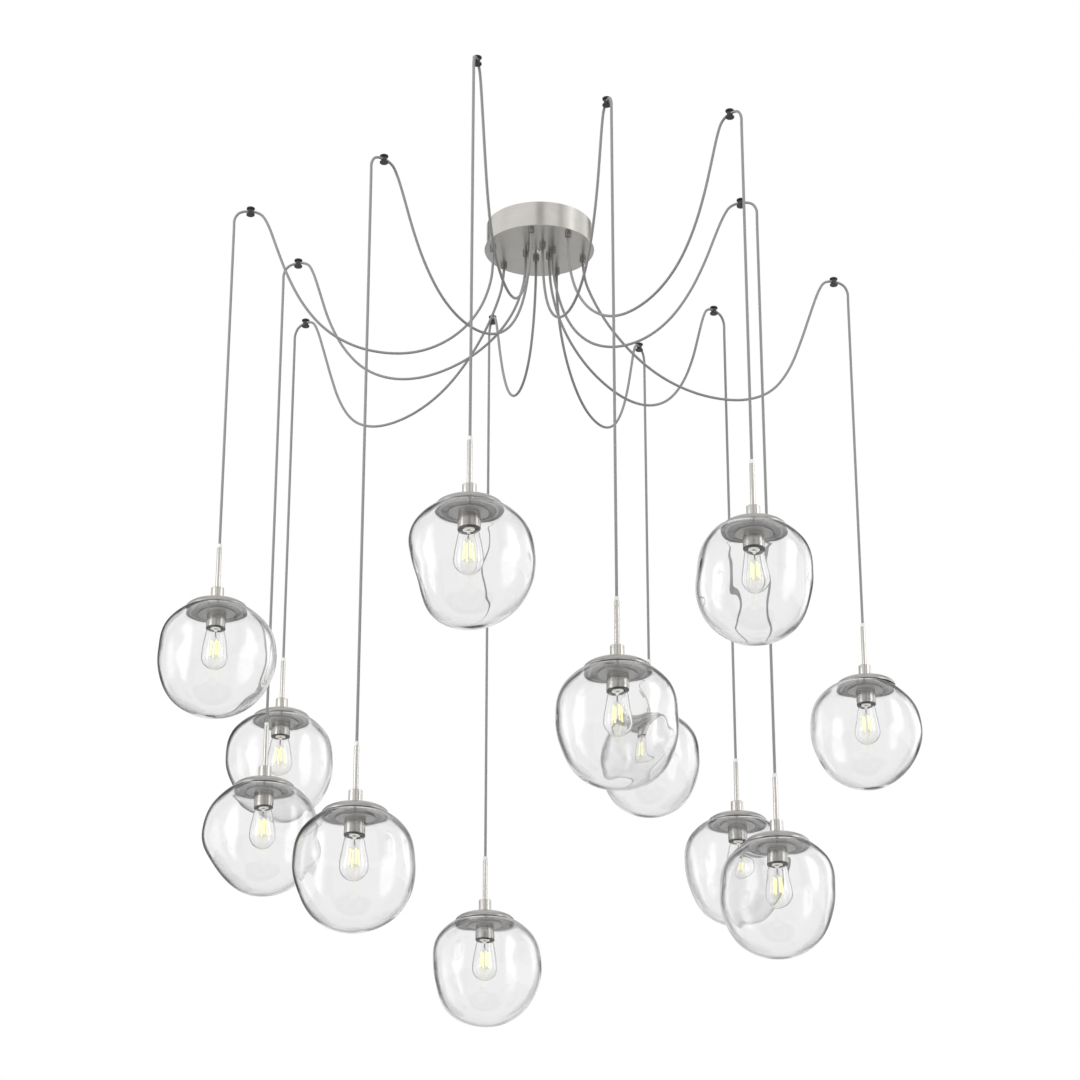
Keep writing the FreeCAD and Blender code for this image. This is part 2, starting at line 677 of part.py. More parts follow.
def lamp_base():
    """The screw base and its centre contact."""
    top = LAMP_BASE_BOTTOM + LAMP_BASE_LENGTH
    tip = top + LAMP_CONTACT_HEIGHT
    return lathe([
        (0, LAMP_BASE_BOTTOM), (LAMP_BASE_RADIUS, LAMP_BASE_BOTTOM), (LAMP_BASE_RADIUS, top),
        (LAMP_CONTACT_RADIUS, top + LAMP_CONTACT_HEIGHT / 2), (LAMP_CONTACT_RADIUS, tip), (0, tip),
    ])


def lamp_stem():
    """The glass stem inside the bulb that carries the filaments."""
    top = LAMP_BASE_BOTTOM
    bottom = top - LAMP_STEM_LENGTH
    return lathe([
        (0, top), (LAMP_NECK_RADIUS - LAMP_GLASS_WALL - LAMP_CLEARANCE, top),
        (LAMP_STEM_RADIUS, top - LAMP_STEM_LENGTH / 3), (LAMP_STEM_RADIUS / 2, bottom), (0, bottom),
    ])


def filaments():
    """Lit rods that spread downward from the end of the stem."""
    top = LAMP_BASE_BOTTOM - LAMP_STEM_LENGTH
    rods = []
    for i in range(FILAMENT_COUNT):
        angle = FILAMENT_TURN + 360.0 / FILAMENT_COUNT * i
        start = polar(FILAMENT_TOP_SPREAD, angle) + UP * top
        end = polar(FILAMENT_SPREAD, angle) + UP * (top - FILAMENT_LENGTH)
        rods.append(Part.makeCylinder(FILAMENT_RADIUS, (end - start).Length, start, end - start))
    return rods


def hang(shapes, place):
    """Copies of a pendant's pieces on its plumb line, at its height."""
    move = place["plumb"] + UP * place["rim"]
    return [shape.translated(move) for shape in shapes]


def main():
    os.makedirs("parts", exist_ok=True)
    places = cluster()
    nodes = {
        "ceiling_bracket": [ceiling_bracket()],
        "bracket_fasteners": bracket_fasteners(),
        "canopy_band": [canopy_band()],
        "canopy_plate": [canopy_plate(places)],
        "cap_nut": [cap_nut()],
        "terminal_hub": [terminal_hub()],
        "lead_tails": [lead_tail(place) for place in places],
        "cord_grips": [cord_grip(place) for place in places],
        "grip_locknuts": [grip_locknut(place) for place in places],
        "hook_bases": [hook_base(place) for place in places],
        "hook_caps": [hook_cap(place) for place in places],
        "swag_cords": [swag_cord(f"swag {i:02d}", place) for i, place in enumerate(places, 1)],
    }
    fitting = pendant_fitting()
    globe = [glass_globe()]
    lamp = [lamp_glass(), lamp_base(), lamp_stem()] + filaments()
    for i, place in enumerate(places, 1):
        nodes[f"pendant_{i:02d}_cord"] = [drop_cord(place)]
        nodes[f"pendant_{i:02d}_fitting"] = hang(fitting, place)
        nodes[f"pendant_{i:02d}_globe"] = hang(globe, place)
        nodes[f"pendant_{i:02d}_lamp"] = hang(lamp, place)
    for name, solids in nodes.items():
        for solid in solids:
            if not solid.isValid() or solid.Volume <= 0:
                print(f"{name}: a solid is not valid")
        shape = solids[0] if len(solids) == 1 else Part.makeCompound(solids)
        shape.exportStep(f"parts/{name}.step")
    print(f"{len(nodes)} nodes, {sum(len(s) for s in nodes.values())} solids")


main()
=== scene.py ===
"""The looks of the cluster pendant, round its fixed frame: clear globes, metal fittings and cords.

All lengths are in metres and +Z is up. A pendant's own pieces are drawn about its plumb line, with
heights above or below the lower rim of its metal cap, and are then set in place by the frame.
"""

import math

import bmesh
import bpy
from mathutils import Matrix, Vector, noise


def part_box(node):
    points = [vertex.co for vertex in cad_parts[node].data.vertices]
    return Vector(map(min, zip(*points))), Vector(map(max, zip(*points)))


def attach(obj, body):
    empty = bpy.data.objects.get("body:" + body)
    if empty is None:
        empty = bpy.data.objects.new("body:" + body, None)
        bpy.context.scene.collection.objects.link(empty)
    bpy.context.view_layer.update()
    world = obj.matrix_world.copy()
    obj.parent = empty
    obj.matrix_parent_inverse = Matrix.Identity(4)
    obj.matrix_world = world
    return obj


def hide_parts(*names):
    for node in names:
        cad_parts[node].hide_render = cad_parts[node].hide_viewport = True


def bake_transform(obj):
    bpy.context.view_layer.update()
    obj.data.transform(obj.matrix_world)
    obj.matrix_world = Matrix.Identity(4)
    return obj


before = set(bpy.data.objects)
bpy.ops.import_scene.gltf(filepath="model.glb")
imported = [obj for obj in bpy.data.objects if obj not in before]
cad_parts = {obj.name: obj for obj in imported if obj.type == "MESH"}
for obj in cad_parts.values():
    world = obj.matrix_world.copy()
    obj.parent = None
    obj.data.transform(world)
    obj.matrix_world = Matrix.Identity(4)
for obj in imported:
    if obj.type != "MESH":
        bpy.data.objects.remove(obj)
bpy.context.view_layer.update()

# Camera: it stands in front of the cluster, below it, and looks up along +Y
CAMERA_PLACE = (0.0016, -5.8428, -3.1439)
CAMERA_RISE = 22.0294
LENS_MM = 95.19
FLOOR_DEPTH = 7.0
FLOOR_REACH = 30.0

# Finishes and painted shade: a turned grain's pitch, the painted shade under a cap's edge, the
# heights and the places left of the axis where the glass's edges carry wide painted shade, and the
# cords' braid
GRAIN_PITCH = 0.0004
RIM_SHADE = (0.035, 0.035, 0.035)
RIM_SHADE_START = 0.0585
WIDE_SHADE_LOW = -0.085
WIDE_SHADE_FULL = -0.025
LEFT_SHADE_START = -0.04
LEFT_SHADE_FULL = -0.12
LEFT_SHADE_SHARE = 0.6
BRAID_THREADS = 12.0
BRAID_CROSSINGS = 420.0

# Cords: the route's points are (distance from the hook towards the canopy, depth), as in the frame
CORD_RADIUS = 0.003
CORD_SLIP = 0.00015
CORD_SIDES = 14
CORD_STEPS = 14
PLUMB_OFFSET = 0.036
PORT_DEPTH = 0.072
HANG_POINT_DEPTH = 0.093
HOOK_BEND = [(-0.036, 0.0537), (-0.0366, 0.029), (-0.022, 0.009), (0.022, 0.009)]
SWAG_WIDE = [
    (0.041, 0.038), (0.065, 0.104), (0.092, 0.182), (0.124, 0.262), (0.170, 0.326),
    (0.234, 0.359), (0.308, 0.368), (0.386, 0.359), (0.463, 0.330), (0.531, 0.280),
    (0.590, 0.214), (0.630, 0.143), (0.641, 0.104),
]
SWAG_NARROW = [
    (0.041, 0.038), (0.062, 0.097), (0.088, 0.166), (0.125, 0.237), (0.175, 0.296),
    (0.239, 0.333), (0.309, 0.347), (0.379, 0.342), (0.441, 0.316), (0.493, 0.273),
    (0.531, 0.217), (0.551, 0.157), (0.557, 0.112),
]
SWAG_MIDDLE = [
    (0.038, 0.036), (0.056, 0.092), (0.080, 0.170), (0.117, 0.246), (0.167, 0.306),
    (0.229, 0.340), (0.298, 0.350), (0.368, 0.338), (0.434, 0.310), (0.490, 0.267),
    (0.530, 0.214), (0.552, 0.156), (0.559, 0.112),
]
SWAG_INNER = [
    (0.040, 0.034), (0.060, 0.080), (0.086, 0.147), (0.122, 0.219), (0.169, 0.281),
    (0.225, 0.320), (0.287, 0.334), (0.343, 0.322), (0.385, 0.288), (0.413, 0.240),
    (0.431, 0.184), (0.441, 0.128), (0.443, 0.100),
]
OUTER_PORT_RING = 0.107
INNER_PORT_RING = 0.032
# Four rings of three: (first pendant's number, swag, ring of its ports, a cord's whole length)
RINGS = [
    (1, SWAG_WIDE, OUTER_PORT_RING, 1.90),
    (4, SWAG_NARROW, OUTER_PORT_RING, 1.76),
    (7, SWAG_MIDDLE, INNER_PORT_RING, 2.09),
    (10, SWAG_INNER, INNER_PORT_RING, 2.18),
]
RING_COPIES = 3

# Pendant fitting, about the plumb line
CAP_RADIUS = 0.0677
CAP_RIM = 0.002
CAP_DOME = 0.0225
CAP_WALL = 0.0012
STEM_RADIUS = 0.0053
STEM_WALL = 0.0013
STEM_TOP = 0.146
STEM_SEAT = 0.010
COLLAR_RADIUS = 0.0046
COLLAR_TOP = 0.1543
COUPLER_RADIUS = 0.014
COUPLER_TOP = 0.052
NIPPLE_RADIUS = 0.0049
NIPPLE_WALL = 0.001
NIPPLE_TOP = 0.0365
NIPPLE_BOTTOM = -0.0091
SLIP = 0.0001
FITTER_THICKNESS = 0.0015
HUB_RADIUS = 0.035
HUB_WALL = 0.0015
GASKET_THICKNESS = 0.0008
GASKET_WIDTH = 0.018
SHADE_RING_RADIUS = 0.0395
FITTER_BOTTOM = -0.0071
SOCKET_RADIUS = 0.02175
SOCKET_WALL = 0.001
CUP_BOTTOM = -0.0396
SOCKET_BOTTOM = -0.0426
SOCKET_BORE = 0.0155
SHELL_RADIUS = 0.01375
SHELL_WALL = 0.0004
SHELL_TOP = -0.0161
HOLDER_FLOOR = -0.0151

# Glass: swells and waves are added to the bubble's radius; RISE and FALL say from where to where a
# swell grows, as shares of the way up and down
GLOBE_RADIUS = 0.1243
GLOBE_CENTRE = -0.1101
SHOULDER_SWELL = 0.0075
SHOULDER_RISE = (0.10, 0.62)
FOOT_SWELL = 0.003
FOOT_FALL = (0.30, 0.85)
SKIN_WAVE = 0.0013
SKIN_WAVES = 1.6
WALL_WAVE = 0.0009
WALL_WAVES = 2.3
SEED_STEP = 7.3
GLASS_WALL = 0.0033
GLASS_TOP = -GASKET_THICKNESS
SHOULDER_EASE = 0.0018
MOUTH_RADIUS = 0.036
GLOBE_TURNS = 128
SHOULDER_ANGLE = 45.0
SHOULDER_ROWS = 34
BODY_ROWS = 62

# Lamp
LAMP_RADIUS = 0.029
LAMP_TIP = -0.1336
LAMP_NECK = 0.0133
LAMP_NECK_TOP = -0.0330
LAMP_SHOULDER = [
    (0.0138, -0.0400), (0.0160, -0.0436), (0.0190, -0.0462), (0.0207, -0.0500),
    (0.0220, -0.0560), (0.0241, -0.0677), (0.0268, -0.0830), (0.0284, -0.0950),
]
LAMP_WALL = 0.0008
SCREW_PITCH = 0.0036
SCREW_TURNS = 5
SCREW_RADIUS = 0.0128
SCREW_DEPTH = 0.0005
SCREW_STEPS = 6
LAMP_STEM_TOP = -0.0332
LAMP_STEM_END = -0.0496
LAMP_MOUNT_TOP = -0.0500
LAMP_MOUNT_END = -0.0596
LIT_DISC_HEIGHTS = (-0.0418, -0.0408)
LIT_DISC_HOLE = 0.0035
LIT_DISC_GAP = 0.0016
FILAMENT_TOP = -0.0690
FILAMENT_LENGTH = 0.034
FILAMENT_RING = 0.0108
FILAMENT_RADIUS = 0.0016
FILAMENT_COUNT = 4
FILAMENT_TURN = 22
FILAMENT_LEAN = 0.8
WIRE_RADIUS = 0.0003
WIRE_START = -0.0580
WIRE_SIDES = 6

TURNS = 72
WIDE_TURNS = 120
LAMP_STEM_TURNS = 32
LAMP_MOUNT_TURNS = 24
EASE_STEPS = 4
TINY = 1e-6


# Meshes


def mesh_of(name, bm, smooth_angle=40.0):
    """A named mesh with smooth faces and edges that are sharp past an angle."""
    bmesh.ops.recalc_face_normals(bm, faces=bm.faces)
    mesh = bpy.data.meshes.new(name)
    bm.to_mesh(mesh)
    bm.free()
    mesh.shade_smooth()
    mesh.set_sharp_from_angle(angle=math.radians(smooth_angle))
    return mesh


def eased(points):
    """An outline of (radius, height) points, each rounded by as much as its third value says."""
    outline = []
    for before, here, after in zip(points[-1:] + points[:-1], points, points[1:] + points[:1]):
        corner = Vector(here[:2])
        if len(here) < 3:
            outline.append(corner)
            continue
        back = (Vector(before[:2]) - corner).normalized() * here[2]
        ahead = (Vector(after[:2]) - corner).normalized() * here[2]
        for step in range(EASE_STEPS + 1):
            share = step / EASE_STEPS
            outline.append(corner + back * (1 - share) ** 2 + ahead * share ** 2)
    return outline


def sweep_rings(bm, rings):
    """Faces between each ring and the next, and from the last back to the first."""
    for near, far in zip(rings, rings[1:] + rings[:1]):
        count = max(len(near), len(far))
        if count == 1:
            continue
        for i in range(count):
            corners = [
                near[i % len(near)], near[(i + 1) % len(near)],
                far[(i + 1) % len(far)], far[i % len(far)],
            ]
            bm.faces.new(dict.fromkeys(corners))


def lathe(name, outline, turns=TURNS, smooth_angle=40.0):
    """A mesh turned about Z from a closed outline of (radius, height) points."""
    bm = bmesh.new()
    rings = []
    for radius, height in outline:
        if radius < TINY:
            rings.append([bm.verts.new((0, 0, height))])
            continue
        angles = [2 * math.pi * i / turns for i in range(turns)]
        rings.append([
            bm.verts.new((radius * math.cos(a), radius * math.sin(a), height)) for a in angles
        ])
    sweep_rings(bm, rings)
    return mesh_of(name, bm, smooth_angle)


def tube_frames(path):
    """A square pair of directions at each point of a path, carried along without twist."""
    frames = []
    side = Vector((0, 0, 1)).cross(path[1] - path[0])
    if side.length < TINY:
        side = Vector((1, 0, 0))
    for i, point in enumerate(path):
        ahead = (path[min(i + 1, len(path) - 1)] - path[max(i - 1, 0)]).normalized()
        side = (side - ahead * side.dot(ahead)).normalized()
        frames.append((point, side, ahead.cross(side)))
    return frames


def tube(name, path, radius, sides):
    """A round tube along a path, with a map of (turn, length in metres) for its braid."""
    bm = bmesh.new()
    braid = bm.loops.layers.uv.new("Braid")
    rings, lengths, run = [], [], 0.0
    for i, (point, side, lift) in enumerate(tube_frames(path)):
        if i:
            run += (path[i] - path[i - 1]).length
        lengths.append(run)
        angles = [2 * math.pi * k / sides for k in range(sides)]
        rings.append([
            bm.verts.new(point + (side * math.cos(a) + lift * math.sin(a)) * radius) for a in angles
        ])
    for row in range(len(rings) - 1):
        for k in range(sides):
            after = (k + 1) % sides
            face = bm.faces.new((
                rings[row][k], rings[row][after], rings[row + 1][after], rings[row + 1][k]
            ))
            spots = [(k, row), (k + 1, row), (k + 1, row + 1), (k, row + 1)]
            for loop, (turn, along) in zip(face.loops, spots):
                loop[braid].uv = (turn / sides, lengths[along])
    bm.faces.new(rings[0][::-1])
    bm.faces.new(rings[-1])
    return mesh_of(name, bm, 50.0)


def curve_points(points, steps):
    """The smooth line that a cord's points control, read as a row of points."""
    data = bpy.data.curves.new("route", "CURVE")
    data.dimensions = "3D"
    data.resolution_u = steps
    spline = data.splines.new("NURBS")
    spline.points.add(len(points) - 1)
    for spot, point in zip(spline.points, points):
        spot.co = (*point, 1.0)
    spline.order_u = 3
    spline.use_endpoint_u = True
    holder = bpy.data.objects.new("route", data)
    bpy.context.scene.collection.objects.link(holder)
    bpy.context.view_layer.update()
    line = bpy.data.meshes.new_from_object(holder)
    path = [vertex.co.copy() for vertex in line.vertices]
    bpy.data.objects.remove(holder)
    bpy.data.curves.remove(data)
    bpy.data.meshes.remove(line)
    return path


# Materials


class Nodes:
    """A short way to write the nodes of a material or of the world."""

    def __init__(self, owner, output="ShaderNodeOutputMaterial"):
        owner.use_nodes = True
        self.tree = owner.node_tree
        self.tree.nodes.clear()
        self.output = self.add(output)

    def add(self, kind, inputs=None, **settings):
        node = self.tree.nodes.new(kind)
        for name, value in settings.items():
            setattr(node, name, value)
        for name, value in (inputs or {}).items():
            self.feed(node.inputs[name], value)
        return node

    def feed(self, socket, value):
        if isinstance(value, bpy.types.NodeSocket):
            self.tree.links.new(value, socket)
        else:
            socket.default_value = value

    def math(self, operation, *values):
        node = self.add("ShaderNodeMath", operation=operation)
        for socket, value in zip(node.inputs, values):
            self.feed(socket, value)
        return node.outputs[0]

    def span(self, value, low, high):
        """Value, from 0 to 1, spread over low to high."""
        node = self.add("ShaderNodeMapRange", {"Value": value, "To Min": low, "To Max": high})
        return node.outputs["Result"]

    def ramp(self, value, *stops):
        """Colours at given places, smoothly joined."""
        node = self.add("ShaderNodeValToRGB", {"Fac": value})
        node.color_ramp.interpolation = "EASE"
        while len(node.color_ramp.elements) < len(stops):
            node.color_ramp.elements.new(1.0)
        for element, (place, colour) in zip(node.color_ramp.elements, stops):
            element.position = place
            element.color = (*colour, 1.0)
        return node.outputs["Color"]

    def blend(self, share, first, second, **settings):
        """First, blended into second by a share."""
        inputs = {"Factor": share, "A": first, "B": second}
        return self.add("ShaderNodeMix", inputs, data_type="RGBA", **settings).outputs["Result"]

    def noise(self, vector, scale, detail=2.0):
        node = self.add("ShaderNodeTexNoise", {"Vector": vector, "Scale": scale, "Detail": detail})
        return node.outputs["Fac"]

    def bump(self, height, strength, distance):
        node = self.add(
            "ShaderNodeBump", {"Height": height, "Strength": strength, "Distance": distance}
        )
        return node.outputs["Normal"]

    def surface(self, shader):
        self.tree.links.new(shader, self.output.inputs["Surface"])


def grey(level):
    return (level, level, level)


def turned_grain(nodes):
    """Fine lines that run round the Z axis, as a lathe or a buffing wheel leaves them."""
    place = nodes.add("ShaderNodeTexCoord").outputs["Object"]
    parts = nodes.add("ShaderNodeSeparateXYZ", {"Vector": place}).outputs
    square_x = nodes.math("MULTIPLY", parts["X"], parts["X"])
    square_y = nodes.math("MULTIPLY", parts["Y"], parts["Y"])
    radius = nodes.math("SQRT", nodes.math("ADD", square_x, square_y))
    round_it = nodes.math("MULTIPLY", nodes.math("ADD", parts["X"], parts["Y"]), 9.0)
    lines = nodes.add("ShaderNodeCombineXYZ", {
        "X": nodes.math("DIVIDE", radius, GRAIN_PITCH),
        "Y": nodes.math("DIVIDE", parts["Z"], GRAIN_PITCH),
        "Z": round_it,
    })
    return lines.outputs["Vector"], place


def metal(name, colour, roughness, painted_shade_below=None):
    """Metal with a turned grain and an uneven polish; past a radius and below a height it can carry
    painted shade, nearly black.
    """
    material = bpy.data.materials.new(name)
    nodes = Nodes(material)
    lines, place = turned_grain(nodes)
    fine = nodes.noise(lines, 1.0, 3.0)
    cloudy = nodes.noise(place, 28.0)
    tone = nodes.math("ADD", nodes.math("MULTIPLY", fine, 0.5), nodes.math("MULTIPLY", cloudy, 0.5))
    dark = tuple(c * 0.93 for c in colour)
    light = tuple(min(1.0, c * 1.05) for c in colour)
    finish = nodes.ramp(tone, (0.3, dark), (0.7, light))
    # Painted shade: under the cap's edge, past a radius and below a height, the finish is painted
    # near black.
    if painted_shade_below is not None:
        parts = nodes.add("ShaderNodeSeparateXYZ", {"Vector": place}).outputs
        square = nodes.math("MULTIPLY_ADD", parts["X"], parts["X"], nodes.math(
            "MULTIPLY", parts["Y"], parts["Y"]
        ))
        outside = nodes.math("GREATER_THAN", square, RIM_SHADE_START ** 2)
        low = nodes.math("LESS_THAN", parts["Z"], painted_shade_below)
        finish = nodes.blend(nodes.math("MULTIPLY", outside, low), finish, (*RIM_SHADE, 1.0))
    shader = nodes.add("ShaderNodeBsdfPrincipled", {
        "Base Color": finish,
        "Metallic": 1.0,
        "Roughness": nodes.span(tone, roughness * 0.85, roughness * 1.2),
        "Normal": nodes.bump(fine, 0.12, 0.00005),
    })
    nodes.surface(shader.outputs[0])
    return material


def moulded(name, colour, roughness, bump=0.1):
    """Moulded plastic or rubber with a faint, uneven skin."""
    material = bpy.data.materials.new(name)
    nodes = Nodes(material)
    place = nodes.add("ShaderNodeTexCoord").outputs["Object"]
    skin = nodes.noise(place, 2200.0, 3.0)
    cloudy = nodes.noise(place, 60.0)
    dark = tuple(c * 0.85 for c in colour)
    light = tuple(min(1.0, c * 1.12) for c in colour)
    shader = nodes.add("ShaderNodeBsdfPrincipled", {
        "Base Color": nodes.ramp(cloudy, (0.3, dark), (0.7, light)),
        "Roughness": nodes.span(skin, roughness * 0.85, min(1.0, roughness * 1.15)),
        "Normal": nodes.bump(skin, bump, 0.0001),
    })
    nodes.surface(shader.outputs[0])
    return material


def cord_braid():
    """Grey fabric braid: two sets of threads that cross round the cord."""
    material = bpy.data.materials.new("grey_braid")
    nodes = Nodes(material)
    spot = nodes.add("ShaderNodeUVMap", uv_map="Braid").outputs["UV"]
    parts = nodes.add("ShaderNodeSeparateXYZ", {"Vector": spot}).outputs
    turn = nodes.math("MULTIPLY", parts["X"], BRAID_THREADS)
    along = nodes.math("MULTIPLY", parts["Y"], BRAID_CROSSINGS)
    waves = []
    for operation in ("ADD", "SUBTRACT"):
        thread = nodes.math("MULTIPLY", nodes.math(operation, turn, along), 2 * math.pi)
        waves.append(nodes.math("SINE", thread))
    weave = nodes.math("MULTIPLY_ADD", nodes.math("MULTIPLY", waves[0], waves[1]), 0.5, 0.5)
    place = nodes.add("ShaderNodeTexCoord").outputs["Object"]
    fuzz = nodes.noise(place, 900.0, 4.0)
    tone = nodes.math("ADD", nodes.math("MULTIPLY", weave, 0.7), nodes.math("MULTIPLY", fuzz, 0.3))
    shader = nodes.add("ShaderNodeBsdfPrincipled", {
        "Base Color": nodes.ramp(tone, (0.15, grey(0.20)), (0.85, grey(0.34))),
        "Metallic": 0.2,
        "Roughness": nodes.span(fuzz, 0.42, 0.55),
        "Specular IOR Level": 0.25,
        "Normal": nodes.bump(tone, 0.3, 0.0002),
    })
    nodes.surface(shader.outputs[0])
    return material


def clear_glass(name, body, wide_edge_shade, thin_edge_shade):
    """Clear glass with painted reflections as pale patches; its edges are painted darker, partly
    for the glass's own absorption along grazing paths and partly as painted shade, widest near its
    top and on its left.
    """
    material = bpy.data.materials.new(name)
    nodes = Nodes(material)
    place = nodes.add("ShaderNodeTexCoord").outputs["Object"]
    parts = nodes.add("ShaderNodeSeparateXYZ", {"Vector": place}).outputs
    # Painted reflections: the noise lifts the glass's grey tint to pale patches that stand in for
    # mirrored softboxes.
    cloudy = nodes.noise(place, 9.0, 0.0)
    slant = nodes.add("ShaderNodeLayerWeight", {"Blend": 0.5}).outputs["Facing"]
    tint_and_painted_reflections = nodes.blend(nodes.span(cloudy, 0.0, 0.35), (*grey(body), 1.0), (1.0, 1.0, 1.0, 1.0))
    clear = grey(1.0)
    # The edges darken with slant: partly the glass's own absorption along grazing paths, partly
    # painted shade.
    wide = nodes.ramp(
        slant, (0.0, clear), (0.63, clear), (0.71, grey(0.42)), (0.80, grey(wide_edge_shade))
    )
    thin = nodes.ramp(
        slant, (0.0, clear), (0.72, clear), (0.82, grey(0.62)), (0.90, grey(thin_edge_shade))
    )
    # Painted shade: the dark edges are widened near the cap and on the left side, where the glass
    # faces darker surroundings.
    painted_shade_near_top = nodes.add("ShaderNodeMapRange", {
        "Value": parts["Z"], "From Min": WIDE_SHADE_LOW, "From Max": WIDE_SHADE_FULL,
    }).outputs["Result"]
    painted_shade_on_left = nodes.add("ShaderNodeMapRange", {
        "Value": parts["X"], "From Min": LEFT_SHADE_START, "From Max": LEFT_SHADE_FULL,
        "To Max": LEFT_SHADE_SHARE,
    }).outputs["Result"]
    shade = nodes.blend(nodes.math("MAXIMUM", painted_shade_near_top, painted_shade_on_left), thin, wide)
    shader = nodes.add("ShaderNodeBsdfPrincipled", {
        "Base Color": nodes.blend(1.0, tint_and_painted_reflections, shade, blend_type="MULTIPLY"),
        "Roughness": 0.0,
        "IOR": 1.5,
        "Specular IOR Level": 0.7,
        "Transmission Weight": 1.0,
    })
    rays = nodes.add("ShaderNodeLightPath").outputs
    light_ray = nodes.math("MAXIMUM", rays["Is Shadow Ray"], rays["Is Diffuse Ray"])
    through = nodes.add("ShaderNodeBsdfTransparent", {"Color": (0.93, 0.93, 0.93, 1.0)})
    mix = nodes.add("ShaderNodeMixShader", {
        0: light_ray, 1: shader.outputs[0], 2: through.outputs[0],
    })
    nodes.surface(mix.outputs[0])
    return material


def glowing(name, colour, strength):
    """A glowing surface, a little uneven along its length; on the lamp's insulating disc the glow
    is painted light.
    """
    material = bpy.data.materials.new(name)
    nodes = Nodes(material)
    place = nodes.add("ShaderNodeTexCoord").outputs["Object"]
    beads = nodes.noise(place, 500.0)
    shader = nodes.add("ShaderNodeBsdfPrincipled", {
        "Base Color": nodes.ramp(beads, (0.3, tuple(c * 0.9 for c in colour)), (0.7, colour)),
        "Roughness": 0.6,
        "Emission Color": (*colour, 1.0),
        "Emission Strength": strength,
    })
    nodes.surface(shader.outputs[0])
    return material


NICKEL = metal("brushed_nickel", (0.60, 0.58, 0.55), 0.24)
# The next three are darker copies of the same brushed nickel, as painted shade on the cap's dome,
# the plate and ring under it, and the socket cup.
SHADED_CAP_NICKEL = metal("shaded_cap_nickel", (0.52, 0.50, 0.48), 0.32, painted_shade_below=0.0009)
SHADED_DOME_NICKEL = metal("shaded_dome_nickel", (0.43, 0.415, 0.40), 0.32, painted_shade_below=0.0012)
SHADED_CUP_NICKEL = metal("shaded_cup_nickel", (0.47, 0.455, 0.435), 0.26)
POLISHED = metal("polished_nickel", (0.78, 0.76, 0.73), 0.16)
ZINC = metal("zinc_steel", (0.55, 0.56, 0.57), 0.35)
BRASS = metal("brass", (0.75, 0.56, 0.28), 0.25)
BLACK = metal("black_metal", (0.085, 0.085, 0.088), 0.42)
DARK_NICKEL = metal("grip_nickel", (0.33, 0.32, 0.31), 0.3)
HOLDER = moulded("holder_black", (0.02, 0.02, 0.021), 0.45)
INSULATOR = moulded("insulator", (0.72, 0.70, 0.66), 0.55)
GASKET = moulded("gasket_rubber", (0.07, 0.07, 0.07), 0.6)
COLLAR = moulded("collar_plastic", (0.80, 0.80, 0.79), 0.35)
LEAD_SLEEVE = moulded("lead_sleeve", grey(0.3), 0.7)
BRAID = cord_braid()
GLOBE_GLASS = clear_glass("globe_glass", body=0.925, wide_edge_shade=0.04, thin_edge_shade=0.12)
LAMP_GLASS = clear_glass("lamp_glass", body=0.985, wide_edge_shade=0.25, thin_edge_shade=0.20)
FILAMENT = glowing("filament", (1.0, 0.96, 0.42), 0.95)
# The lamp's insulating disc glows: painted light for the brightness it shows inside the lamp's
# neck.
PAINTED_GLOW_DISC = glowing("painted_glow_disc", (1.0, 0.98, 0.94), 0.45)


# Pieces


def show(name, mesh, material, body, place=(0, 0, 0), stands_for=()):
    """A piece at its place, on its body, in its finish."""
    piece = bpy.data.objects.new(name, mesh)
    bpy.context.scene.collection.objects.link(piece)
    if not mesh.materials:
        mesh.materials.append(material)
    piece.location = place
    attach(piece, body)
    if stands_for:
        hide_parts(*stands_for)
    return piece


def ring(inner, outer, low, high, ease=0.0002):
    """The outline of a ring, or of a disc where inner is 0, with eased corners."""
    if inner < TINY:
        return eased([(0, low), (outer, low, ease), (outer, high, ease), (0, high)])
    return eased([(inner, low), (outer, low, ease), (outer, high, ease), (inner, high)])


def arc(half_width, half_height, centre, start, end, steps):
    """Points along an upright ellipse about the axis; degrees run from its top."""
    angles = [math.radians(start + (end - start) * i / steps) for i in range(steps + 1)]
    return [(half_width * math.sin(a), centre + half_height * math.cos(a)) for a in angles]


def cap_outline():
    """A thin spun dome with a rolled rim."""
    hole = NIPPLE_RADIUS + SLIP
    start = math.degrees(math.asin(hole / CAP_RADIUS))
    outer = arc(CAP_RADIUS, CAP_DOME, CAP_RIM, 90, start, 26)
    inner = arc(CAP_RADIUS - CAP_WALL, CAP_DOME - CAP_WALL, CAP_RIM, start, 90, 26)
    rim = eased([(CAP_RADIUS - CAP_WALL, 0, 0.0004), (CAP_RADIUS, 0, 0.0006), outer[0]])
    return rim[:-1] + outer + inner


def coupler_outline():
    """The turned coupler that joins the stem to the cap."""
    low = CAP_RIM + CAP_DOME
    seat = COUPLER_TOP - STEM_SEAT
    bore = STEM_RADIUS + SLIP
    return eased([
        (NIPPLE_RADIUS, low), (COUPLER_RADIUS, low, 0.0008), (COUPLER_RADIUS, COUPLER_TOP, 0.0012),
        (bore, COUPLER_TOP, 0.0003), (bore, seat), (NIPPLE_RADIUS, seat),
    ])


def fitter_outline():
    """The flat plate under the cap, with its hub that holds the glass and the socket."""
    edge = CAP_RADIUS - CAP_WALL - 2 * SLIP
    wall = HUB_RADIUS - HUB_WALL
    return eased([
        (wall, FITTER_THICKNESS), (edge, FITTER_THICKNESS, 0.0002), (edge, 0, 0.0004),
        (HUB_RADIUS, 0), (HUB_RADIUS, FITTER_BOTTOM, 0.001), (NIPPLE_RADIUS, FITTER_BOTTOM),
        (NIPPLE_RADIUS, FITTER_BOTTOM + HUB_WALL), (wall, FITTER_BOTTOM + HUB_WALL),
    ])


